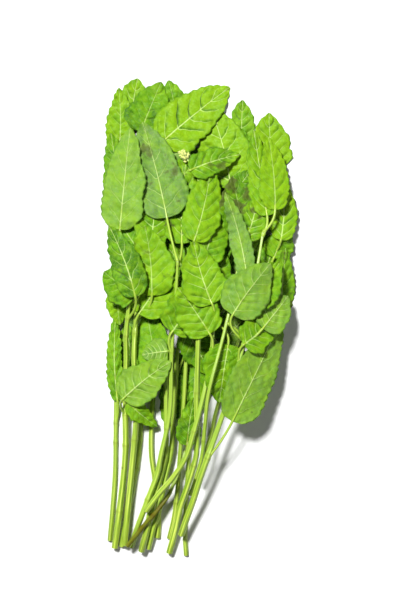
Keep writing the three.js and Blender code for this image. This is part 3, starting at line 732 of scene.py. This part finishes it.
def stem_finish(name, look):
    """A stem's ribbed pale skin with painted shade in its grooves, greener to the tip, pale at the cut
    and brown where it is old.
    """
    s = Shader(name)
    brown, height, cut = s.attribute("stem_look")
    uv = s.uv()
    where = s.place()
    drift = s.wire("ShaderNodeCombineXYZ", {2: s.split(where)[0] * 60.0})
    grain = {0: s.scaled(uv, (9.0, 3.2, 1.0)), 1: drift}
    streaks = s.noise(s.wire("ShaderNodeVectorMath", grain, operation="ADD"), 1.0, 4.0, 0.62)
    fibres = s.noise(s.scaled(uv, (40.0, 3.0, 1.0)), 1.0, 2.0, 0.5)
    patches = s.noise(where, 38.0, 2.0)
    skin = s.ramp(streaks, [(0.34, look.shade), (0.5, look.skin), (0.64, look.streak)])
    rib = s.math("COSINE", s.split(uv)[0] * (8 * math.pi))
    greener = s.math("ADD", height * 0.75, patches * 0.3, clamp=True)
    age = s.math("MULTIPLY", brown, s.step(0.2, 0.6, patches, 0.55, 1.0), clamp=True)
    skin = s.layers(
        skin,
        # painted shade: the shade green laid in the grooves between the ribs
        (s.step(0.2, -0.9, rib) * s.step(0.3, 0.6, patches, 0.45, 0.95), look.shade),
        (s.step(0.45, 0.7, fibres, 0.0, 0.45), look.streak),
        (s.step(0.25, 1.0, greener, 0.0, 0.75), look.tip),
        (age, look.brown),
        (s.dots(where, 110.0, (0.12, 0.05), (0.6, 0.8), 0.6), look.brown),
        (cut * 0.85, look.pith))
    s.bump(fibres * 0.6 + streaks * 0.5, 0.45, 0.0004)
    s.set(Base_Color=skin, Roughness=s.step(0.2, 0.8, fibres, 0.26, 0.4))
    s.set(Specular_IOR_Level=s.step(0.2, 0.8, brown, 0.5, 0.12))
    s.glow(0.08, (0.8, 1.0, 0.3))
    return s.material


def bud_finish(name, look):
    """The soft pale green and yellow of closed flower buds."""
    s = Shader(name)
    where = s.place()
    patches = s.noise(where, 650.0, 3.0)
    colour = s.ramp(patches, [(0.3, look.bud_green), (0.55, look.bud_yellow), (0.8, look.bud_pale)])
    s.bump(s.noise(where, 2200.0, 2.0), 0.35, 0.0002)
    s.set(Base_Color=colour, Roughness=s.step(0.2, 0.8, patches, 0.5, 0.65), Sheen_Weight=0.25)
    s.glow(0.2, (0.8, 1.0, 0.3))
    return s.material


def floor_finish(name, colour):
    """A plain pale matt floor."""
    s = Shader(name)
    patches = s.step(0.3, 0.7, s.noise(s.place(), 3.0, 2.0))
    paint = s.layers(rgba(colour), (patches, [c * 0.985 for c in colour]))
    s.set(Base_Color=paint, Roughness=0.75)
    return s.material


# Settings.

def colour_setting(name, description, default):
    return FloatVectorProperty(
        name=name, description=description, default=default, subtype="COLOR", min=0, max=1)


def length_setting(name, description, default):
    return FloatProperty(
        name=name, description=description, default=default, subtype="DISTANCE", unit="LENGTH", min=0)


def share_setting(name, description, default):
    return FloatProperty(name=name, description=description, default=default, subtype="FACTOR")


def count_setting(name, description, default, least=0):
    return IntProperty(name=name, description=description, default=default, min=least)


def light_setting(name, description, default):
    return FloatProperty(name=name, description=description, default=default, unit="POWER")


class BasilLeafSettings(PropertyGroup):
    """Sizes and greens of the leaves."""

    thickness: length_setting("Blade thickness", "Thickness of a leaf blade", 0.00032)
    pucker: length_setting("Pucker", "How far the blade swells between two side veins", 0.00022)
    crumple: length_setting("Crumple", "How far the blade swells unevenly", 0.0005)
    wave: length_setting("Wave", "How far the edge of a blade waves up and down", 0.0003)
    unevenness: share_setting("Unevenness", "How far an outline strays from an even oval", 0.07)
    tooth: length_setting("Tooth depth", "Depth of the teeth along the edge", 0.00092)
    tooth_spacing: length_setting("Tooth spacing", "Distance from one tooth to the next", 0.0046)
    midrib_width: length_setting("Midrib width", "Half width of the midrib at the base", 0.00058)
    side_veins: count_setting("Side veins", "Side veins on each half of a blade", 6, 3)
    creases: count_setting("Creases", "Creases along side veins of a blade", 3)
    vein_sweep: share_setting("Vein sweep", "How far side veins lean to the tip", 0.24)
    glow: share_setting("Glow", "Share of light that passes through the skin", 0.12)
    underside_paleness: share_setting("Underside paleness", "How far the underside is paler", 0.52)
    # Also laid as painted shade in the pleats and along the margins.
    dark: colour_setting("Dark", "Green of the darkest leaves", (0.045, 0.150, 0.006))
    deep: colour_setting("Deep", "Green of the older leaves", (0.110, 0.295, 0.006))
    fresh: colour_setting("Fresh", "Green of the younger leaves", (0.165, 0.358, 0.007))
    lime: colour_setting("Lime", "Green of the brightest leaves", (0.198, 0.390, 0.005))
    # Its pale patches are partly the bloom of fine hairs and partly painted sheen; the fine vein net
    # uses it too.
    sunlit: colour_setting("Sunlit", "Yellow green of the pale patches", (0.270, 0.480, 0.008))
    # Painted shade: the dark green laid along a crease stands for the shade in the fold.
    crease: colour_setting("Crease", "Dark green in a crease", (0.016, 0.065, 0.005))
    underside: colour_setting("Underside", "Pale green of the underside", (0.172, 0.268, 0.095))
    vein: colour_setting("Veins", "Pale green of the veins", (0.580, 0.760, 0.240))
    bruised: colour_setting("Bruise", "Olive brown of a bruise", (0.080, 0.102, 0.018))


class BasilStemSettings(PropertyGroup):
    """Sizes and colours of the stems and petioles."""

    sides: count_setting("Sides", "Faces round a stem", 20, 8)
    ribs: share_setting("Ribs", "How square a stem is", 0.1)
    slimness: share_setting("Slimness", "Radius as a share of the solid's", 0.94)
    joint_swelling: share_setting("Joint swelling", "How far a stem swells where a leaf joins", 0.16)
    joint_length: length_setting("Joint length", "Length of the swelling", 0.0018)
    petiole_radius: length_setting("Petiole radius", "Radius of a leaf stalk", 0.00085)
    hair_length: length_setting("Hair length", "Length of the fine hairs", 0.0009)
    hair_width: length_setting("Hair width", "Width of a hair's foot", 0.00004)
    stem_hairs: count_setting("Stem hairs", "Hairs on a stem", 600)
    petiole_hairs: count_setting("Petiole hairs", "Hairs on a leaf stalk", 30)
    skin: colour_setting("Skin", "Main colour of a stem", (0.40, 0.56, 0.034))
    streak: colour_setting("Streaks", "Pale streaks along a stem", (0.64, 0.76, 0.150))
    # Also laid as painted shade in the grooves between the ribs.
    shade: colour_setting("Shade", "Greener streaks along a stem", (0.12, 0.26, 0.008))
    tip: colour_setting("Tip", "Green towards the tip and on the petioles", (0.31, 0.49, 0.050))
    brown: colour_setting("Brown", "Olive brown of an old stem", (0.105, 0.088, 0.002))
    pith: colour_setting("Pith", "Pale cut end", (0.68, 0.74, 0.36))


class BasilBudSettings(PropertyGroup):
    """Sizes and colours of the flower buds."""

    radius: length_setting("Bud radius", "Radius of one bud", 0.00095)
    count: count_setting("Buds", "Number of buds on the spike", 30, 2)
    bud_green: colour_setting("Green", "Green of a bud's base", (0.36, 0.50, 0.10))
    bud_yellow: colour_setting("Yellow", "Yellow green of a bud", (0.66, 0.68, 0.20))
    bud_pale: colour_setting("Pale", "Pale tip of a bud", (0.82, 0.82, 0.45))


class BasilStageSettings(PropertyGroup):
    """Floor, light and camera."""

    floor: colour_setting("Floor", "Colour of the floor", (0.78, 0.78, 0.78))
    sky: share_setting("Sky", "Strength of the even light from all sides", 0.07)
    key: light_setting("Key light", "Power of the main soft light", 202.0)
    fill: light_setting("Fill light", "Power of the second soft light", 10.0)
    lens: FloatProperty(name="Lens", description="Focal length", default=120.0, unit="CAMERA")


# Pieces.

def ripple(places, wavelength, chance):
    """A soft uneven swell over plan places, mostly from -1 to 1, with bumps a wavelength apart."""
    swell = np.zeros(places.shape[:-1])
    waves = 7
    for angle, start, stretch in chance.random((waves, 3)):
        way = np.array([math.cos(math.pi * angle), math.sin(math.pi * angle)])
        swell += np.sin(2 * math.pi * (places @ way / (wavelength * (0.75 + 0.5 * stretch)) + start))
    return swell / math.sqrt(waves)


def toothed_reach(leaf, look, shares, across, halves, chance):
    """How far each point of a blade lies from its midrib, with teeth that point to the tip."""
    teeth = max(3, round(leaf.length / mm(look.tooth_spacing)))
    fade = smooth(0.03, 0.12, shares) * smooth(1.0, 0.94, shares)
    reach = np.empty((len(shares), across.size))
    for sign in (-1, 1):
        stray = look.unevenness * (0.45 + ripple(np.column_stack([shares, shares]), 0.55, chance))
        beat = shares * teeth * (1 + 0.06 * np.sin(5 * shares + leaf.number)) + chance.random()
        depth = 0.6 + 0.8 * chance.random(teeth + 3)[np.floor(beat).astype(int)]
        beat = np.mod(beat, 1)
        rising, falling = (beat / TOOTH_PEAK) ** 0.8, (1 - beat) / (1 - TOOTH_PEAK)
        saw = np.where(beat < TOOTH_PEAK, rising, falling) - 0.6
        edge = halves * (1 + stray * fade) + mm(look.tooth) * saw * fade * depth
        bend = np.abs(across) ** 3
        ours = ((across * sign > 0) | (np.abs(across) < 1e-9)).ravel()
        blend = halves[:, None] * (1 - bend) + edge[:, None] * bend
        reach[:, ours] = (np.abs(across) * blend)[:, ours]
    return reach


def vein_phase(look, shares, across):
    """How many side veins lie between the base of a blade and each of its points."""
    return (shares[:, None] - look.vein_sweep * np.abs(across) ** VEIN_CURVE) * look.side_veins


def choose_creases(leaf, look, chance):
    """A blade's creases along side veins: signed vein place, and how far out each starts and ends."""
    creases = np.tile([-99.0, 0.0, 0.0], (look.creases, 1))
    count = look.creases if leaf.tone > CREASED_TONE else chance.integers(0, look.creases)
    veins = chance.permutation(np.arange(1, look.side_veins - 1))
    for k in range(count):
        side = 1 if leaf.tone > CREASED_TONE else chance.choice([-1, 1])
        creases[k] = (veins[k] + 0.5) * side, 0.08 * chance.random(), 0.75 + 0.3 * chance.random()
    return creases


def crease_depth(leaf, look, shares, across, creases):
    """How deep each point of a blade lies in a crease, from 0 to 1."""
    depth = np.zeros((len(shares), across.size))
    phase = vein_phase(look, shares, across)
    for place, first, last in creases:
        away = (phase - abs(place)) * leaf.length / look.side_veins
        out = across * np.sign(place)
        stretch = smooth(first, first + 0.12, out) * smooth(last, last - 0.15, out)
        depth = np.maximum(depth, np.exp(-(away**2)) * stretch)
    return depth


def blade_sheet(leaf, look, finishes):
    """One leaf blade: a grid drawn out to the toothed outline, puckered, creased and made thick."""
    chance = np.random.default_rng(LEAF_SEED + leaf.number)
    rows = max(FEWEST_ROWS, int(leaf.length / ROW_STEP))
    columns = WIDE_COLUMNS if leaf.width > WIDE_BLADE else SLIM_COLUMNS
    shares = np.linspace(0, 1, rows)
    across = np.linspace(-1, 1, columns)[None, :]
    middles, directions = bow_curve(leaf.base, leaf.control, leaf.tip, shares)
    halves = np.maximum(leaf.width / 2 * blade_outline(shares), NARROWEST_HALF)
    signed = toothed_reach(leaf, look, shares, across, halves, chance) * np.sign(across)
    points = np.empty((rows, columns, 3))
    points[..., :2] = middles[:, None] + left_of(directions)[:, None] * signed[..., None]

    out = np.abs(across)
    phase = vein_phase(look, shares, across)
    swell = 0.5 + 0.5 * np.cos(2 * math.pi * np.mod(phase, 1))
    body = smooth(0.04, 0.3, out) * smooth(1.02, 0.7, out) * smooth(0.0, 0.1, shares)[:, None]
    uneven = 0.4 + 1.1 * chance.random(look.side_veins + 3)[np.floor(phase + 1.5).astype(int)]
    pucker = mm(look.pucker) * (swell * uneven - 0.35) * body * leaf.facing
    ripples = [0.55 * ripple(points[..., :2], size, chance) for size in CRUMPLE_SIZES]
    crumple = mm(look.crumple) * sum(ripples)
    creases = choose_creases(leaf, look, chance)
    depth = 0.5 * crease_depth(leaf, look, shares, across, creases)
    beat = 2 * math.pi * (3.1 * shares[:, None] + 0.31 * leaf.number)
    wave = mm(look.wave) * out**3 * np.sin(beat + np.sign(across) * 0.9)
    ridge = np.exp(-((signed / 0.6) ** 2)) * (1 - 0.75 * shares[:, None])
    ridge = ridge * (-0.12 if leaf.facing == UP else 0.35)
    height = leaf.midline(shares)[:, None] + leaf.rise(shares, across) + SOLID_BLADE / 2
    height = height + pucker + crumple + wave + ridge - depth
    points[..., 2] = np.maximum(height, LOWEST_BLADE)

    uvs = np.stack(np.broadcast_arrays(signed / UV_MM, shares[:, None] * leaf.length / UV_MM), -1)
    place = np.stack(np.broadcast_arrays(across, shares[:, None], leaf.length / UV_MM), -1)
    # How strong the painted shade in the pleats and creases is, and how far the veins stand out.
    shade_and_vein_strength = 0.9 if leaf.tone > CREASED_TONE else 0.25 + 0.6 * chance.random()
    tone_bruise_and_shade = np.array([leaf.tone, leaf.bruise, shade_and_vein_strength])
    values = {"leaf_place": place, "leaf_look": tone_bruise_and_shade}
    values.update({f"leaf_crease_{k}": crease for k, crease in enumerate(creases)})
    sheet, order = start_grid(columns, rows)
    set_points(sheet, order, points, uvs, values)
    upper, lower = (0, 1) if leaf.facing == UP else (1, 0)
    sheet.data.flip_normals()  # its faces now look up
    sheet.data.polygons.foreach_set("material_index", np.full(len(sheet.data.polygons), upper, int))
    for finish in finishes:
        sheet.data.materials.append(finish)
    shell = sheet.modifiers.new("Blade thickness", "SOLIDIFY")
    shell.thickness, shell.offset = look.thickness, 0
    shell.material_offset = lower - upper
    bpy.ops.object.modifier_apply(modifier=shell.name)
    return sheet


def stem_tube(entry, look):
    """A stem with swollen joints, rounded tip and flat cut end, and its hairs."""
    stem = entry["stem"]
    shares = np.linspace(0, 1, STEM_RINGS)
    middles = stem.middle(shares)
    walked = walk(middles)
    radii = look.slimness * stem.radii(shares) * (1 + 0.025 * np.sin(walked / 9.0 + entry["index"]))
    joint_places = [plan((0, row))[1] for row in STEM_JOINTS[entry["index"]]]
    joints = [walked[np.argmin(np.abs(middles[:, 1] - place))] for place in joint_places]
    joints += [np.interp(leaf.root_share, shares, walked) for leaf in entry["leaves"]]
    ring = np.zeros(len(shares))
    for joint in joints:
        away = (walked - joint) / mm(look.joint_length)
        radii = radii * (1 + look.joint_swelling * np.exp(-(away**2)))
        ring = np.maximum(ring, np.exp(-((away / 0.35) ** 2)))
    brown = entry["brown"] * (1 - 0.75 * smooth(0.35, 0.75, shares)) + 0.3 * ring
    brown = brown + 0.15 * smooth(0.06, 0.0, shares)
    chance = np.random.default_rng(entry["index"])
    greenness = shares + 0.55 * chance.random()
    looks = np.column_stack([brown, greenness, np.zeros(len(shares))])
    tube = roll_tube(middles, radii, look.sides, looks, CUT_RINGS, look.ribs, STEM_TWIST)
    return [tube, hair_coat(middles, radii, looks, look.stem_hairs, look, chance)]


def petiole_tube(leaf, look, brown):
    """A leaf stalk from inside the stem to the blade, running out along the midrib, and its hairs."""
    shares = np.linspace(0, 1, STALK_RINGS)
    path, _ = bow_curve(leaf.root[:2], leaf.pull, leaf.base, shares)
    foot = leaf.midline(np.array([0.0]))[0] + SOLID_BLADE / 2 + PETIOLE_LIFT
    neck = leaf.neck_height + PETIOLE_THICKNESS / 2
    if np.isnan(neck):
        neck = leaf.root[2] + (foot - leaf.root[2]) * PETIOLE_STATIONS[1]
    heights = np.interp(shares, [0, PETIOLE_STATIONS[1], 1], [leaf.root[2], neck, foot])
    heights = spline(heights[::3], shares)
    run = np.linspace(0, RIB_RUN, RIB_RINGS + 1)[1:]
    rib, _ = bow_curve(leaf.base, leaf.control, leaf.tip, run)
    sink = (RIB_SINK if leaf.facing == UP else PETIOLE_LIFT) * smooth(0, 0.08, run)
    rib_heights = leaf.midline(run) + SOLID_BLADE / 2 + (PETIOLE_LIFT - sink)
    middles = np.column_stack([np.concatenate([path, rib]), np.concatenate([heights, rib_heights])])
    stalk_widths = 1.35 - 0.45 * smooth(0, 0.25, shares)
    rib_widths = np.linspace(0.85, 0.25, RIB_RINGS)
    radii = mm(look.petiole_radius) * np.concatenate([stalk_widths, rib_widths])
    tones = np.repeat([0.75, 0.45], [STALK_RINGS, RIB_RINGS])
    looks = np.column_stack([np.full(len(tones), brown * 0.5), tones, np.zeros(len(tones))])
    tube = roll_tube(middles, radii, STALK_SIDES, looks, INNER_RINGS)
    stalk = slice(0, STALK_RINGS)
    chance = np.random.default_rng(leaf.number)
    coat = hair_coat(middles[stalk], radii[stalk], looks[stalk], look.petiole_hairs, look, chance)
    return [tube, coat]


def hair_coat(middles, radii, looks, count, look, chance):
    """Thin closed spikes that stand out from a tube as fine hairs, more of them towards its tip."""
    along, across, over = tube_frames(middles)
    ring = (chance.random(count) ** 0.7 * (len(middles) - 1)).astype(int)
    angle = 2 * math.pi * chance.random((count, 1))
    outward = np.cos(angle) * across[ring] + np.sin(angle) * over[ring]
    feet = middles[ring] + outward * (radii[ring, None] * 0.9)
    lean = unit(outward + (chance.random((count, 1)) - 0.3) * along[ring])
    reach = mm(look.hair_length) * (0.6 + 0.8 * chance.random((count, 1))) + radii[ring, None] * 0.1
    first = unit(np.cross(lean, along[ring]))
    second = np.cross(lean, first)
    thirds = [2 * math.pi * k / 3 for k in range(3)]
    width = mm(look.hair_width)
    corners = [feet + width * (math.cos(turn) * first + math.sin(turn) * second) for turn in thirds]
    points = np.stack([*corners, feet + lean * reach], 1).reshape(-1, 3)
    points[:, 2] = np.maximum(points[:, 2], LOWEST)
    spike = np.array([(0, 1, 3), (1, 2, 3), (2, 0, 3), (2, 1, 0)])
    faces = (4 * np.arange(count)[:, None, None] + spike).reshape(-1, 3)
    mesh = bpy.data.meshes.new("hairs")
    mesh.from_pydata((points * MM).tolist(), [], faces.tolist())
    set_values(mesh, "stem_look", np.repeat(looks[ring], 4, axis=0))
    coat = bpy.data.objects.new("hairs", mesh)
    bpy.context.collection.objects.link(coat)
    return coat


class BASIL_OT_add_stems(Operator):
    """Adds every stem with its petioles, in place of the frame's leafy stems"""

    bl_idname = "basil.add_stems"
    bl_label = "Add Stems"

    def execute(self, context):
        look = context.scene.basil_stems
        finish = stem_finish("stem_skin", look)
        for entry in BUNCH:
            tubes = stem_tube(entry, look)
            for leaf in entry["leaves"]:
                tubes += petiole_tube(leaf, look, entry["brown"])
            piece = joined(tubes, entry["node"] + "_stem", finish)
            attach(piece, "root")
            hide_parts(entry["node"])
        return {"FINISHED"}


class BASIL_OT_add_leaves(Operator):
    """Adds the leaf blades of every stem, in place of the frame's leafy stems"""

    bl_idname = "basil.add_leaves"
    bl_label = "Add Leaves"

    def execute(self, context):
        look = context.scene.basil_leaves
        finishes = [leaf_finish("leaf_upper_side", look, False)]
        finishes.append(leaf_finish("leaf_underside", look, True))
        for entry in BUNCH:
            sheets = [blade_sheet(leaf, look, finishes) for leaf in entry["leaves"]]
            piece = joined(sheets, entry["node"] + "_leaves")
            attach(piece, "root")
            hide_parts(entry["node"])
        return {"FINISHED"}


class BASIL_OT_add_buds(Operator):
    """Adds the tuft of flower buds at the tip of one stem"""

    bl_idname = "basil.add_buds"
    bl_label = "Add Flower Buds"

    def execute(self, context):
        look = context.scene.basil_buds
        entry = BUNCH[BUDDED_STEM]
        stem = entry["stem"]
        shares = np.linspace(0, 1, 2000)
        walked = np.linalg.norm(np.diff(spline(stem.points, shares), axis=0), axis=1)[::-1].cumsum()
        radius = mm(look.radius)
        chance = np.random.default_rng(BUD_SEED)
        buds = []
        for k in range(look.count):
            back = k / (look.count - 1) * (BUD_SPIKE_LENGTH - 2 * radius)
            share = np.interp(back, walked, 1 - shares[1:])
            middle, ahead = stem.middle([share - 0.002])[0], stem.middle([share + 0.002])[0]
            along = unit(ahead - middle)
            side = np.append(left_of(along[:2]), 0)
            angle = k * GOLDEN_ANGLE
            outward = side * math.cos(angle) + np.array([0, 0, 1.0]) * math.sin(angle)
            spread = (0.9 + 1.5 * (back / BUD_SPIKE_LENGTH) ** 0.6) * (0.8 + 0.4 * chance.random())
            place = middle + outward * spread + along * (chance.random() - 0.3)
            direction = outward + (0.4 + chance.random()) * along
            buds.append(self.bud(place, direction, radius * (0.75 + 0.4 * chance.random())))
        piece = joined(buds, "flower_buds", bud_finish("bud_skin", look))
        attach(piece, "root")
        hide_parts(entry["node"])
        return {"FINISHED"}

    def bud(self, place, direction, radius):
        """One closed bud: a ball drawn to a point, with a pinched foot."""
        bpy.ops.object.select_all(action="DESELECT")
        bpy.ops.mesh.primitive_uv_sphere_add(segments=10, ring_count=8, radius=1)
        ball = bpy.context.active_object
        corners = corners_of(ball.data)
        height = corners[:, 2].copy()
        ridges = np.cos(5 * np.arctan2(corners[:, 1], corners[:, 0]))
        corners[:, :2] *= (0.82 - 0.28 * height + 0.06 * ridges)[:, None]
        corners[:, 2] = height * 1.25 + 0.35 * np.maximum(height, 0) ** 3
        up = unit(direction)
        first = unit(np.cross(up, [0.3, 0.9, 0.2]))
        turned = corners @ np.array([first, np.cross(up, first), up])
        ball.data.vertices.foreach_set("co", ((turned * radius + place) * MM).ravel())
        ball.data.update()
        return ball


class BASIL_OT_add_stage(Operator):
    """Adds the floor, the soft light and the camera that looks straight down"""

    bl_idname = "basil.add_stage"
    bl_label = "Add Stage"

    def execute(self, context):
        stage = context.scene.basil_stage
        scene = context.scene
        scene.view_settings.view_transform = "Standard"
        bpy.ops.object.select_all(action="DESELECT")
        bpy.ops.mesh.primitive_plane_add(size=FLOOR_SIZE)
        floor = context.active_object
        floor.name = "floor"
        floor.data.materials.append(floor_finish("floor_paint", stage.floor))
        world = bpy.data.worlds.new("Soft sky")
        scene.world = world
        world.use_nodes = True
        background = world.node_tree.nodes["Background"].inputs
        background["Color"].default_value = (1, 1, 1, 1)
        background["Strength"].default_value = stage.sky
        self.lamp("Key light", KEY_PLACE, KEY_SIZE, stage.key)
        self.lamp("Fill light", FILL_PLACE, FILL_SIZE, stage.fill)
        self.camera(scene, stage)
        return {"FINISHED"}

    def lamp(self, name, place, size, power):
        bpy.ops.object.light_add(type="AREA", location=place)
        lamp = bpy.context.active_object
        lamp.name = name
        lamp.data.size = size
        lamp.data.energy = power
        flat = math.hypot(place[0], place[1])
        turn = math.atan2(place[1], place[0]) + math.pi / 2
        lamp.rotation_euler = (math.atan2(flat, place[2]), 0, turn)

    def camera(self, scene, stage):
        width, height = PICTURE_SIZE
        middle = plan((width / 2, height / 2)) * MM
        tall = height * MM_PER_PIXEL * MM
        mid_height = CAD_BOX[1][2] * 0.4
        bpy.ops.object.camera_add()
        camera = bpy.context.active_object
        camera.name = "Camera"
        camera.data.sensor_fit = "VERTICAL"
        camera.data.sensor_height = SENSOR_HEIGHT
        camera.data.lens = stage.lens
        camera.location = (*middle, mid_height + tall * stage.lens / SENSOR_HEIGHT)
        camera.rotation_euler = (0, 0, 0)
        scene.camera = camera


class BASIL_PT_panel(Panel):
    """Lists the steps that build the bunch"""

    bl_idname = "BASIL_PT_panel"
    bl_label = "Holy Basil Bunch"
    bl_space_type = "VIEW_3D"
    bl_region_type = "UI"
    bl_category = "Basil"

    def draw(self, context):
        for name, (operator, _) in STEPS.items():
            box = self.layout.box()
            box.operator(operator.bl_idname)
            settings = getattr(context.scene, name)
            for setting in settings.__annotations__:
                box.prop(settings, setting)


STEPS = {
    "basil_stems": (BASIL_OT_add_stems, BasilStemSettings),
    "basil_leaves": (BASIL_OT_add_leaves, BasilLeafSettings),
    "basil_buds": (BASIL_OT_add_buds, BasilBudSettings),
    "basil_stage": (BASIL_OT_add_stage, BasilStageSettings),
}
CLASSES = (*(kind for step in STEPS.values() for kind in step), BASIL_PT_panel)


def register():
    for kind in CLASSES:
        bpy.utils.register_class(kind)
    for name, (_, settings) in STEPS.items():
        setattr(bpy.types.Scene, name, PointerProperty(type=settings))


def unregister():
    for name in STEPS:
        delattr(bpy.types.Scene, name)
    for kind in reversed(CLASSES):
        bpy.utils.unregister_class(kind)


def main():
    register()
    bpy.ops.basil.add_stems()
    bpy.ops.basil.add_leaves()
    bpy.ops.basil.add_buds()
    bpy.ops.basil.add_stage()


if __name__ == "__main__":
    main()
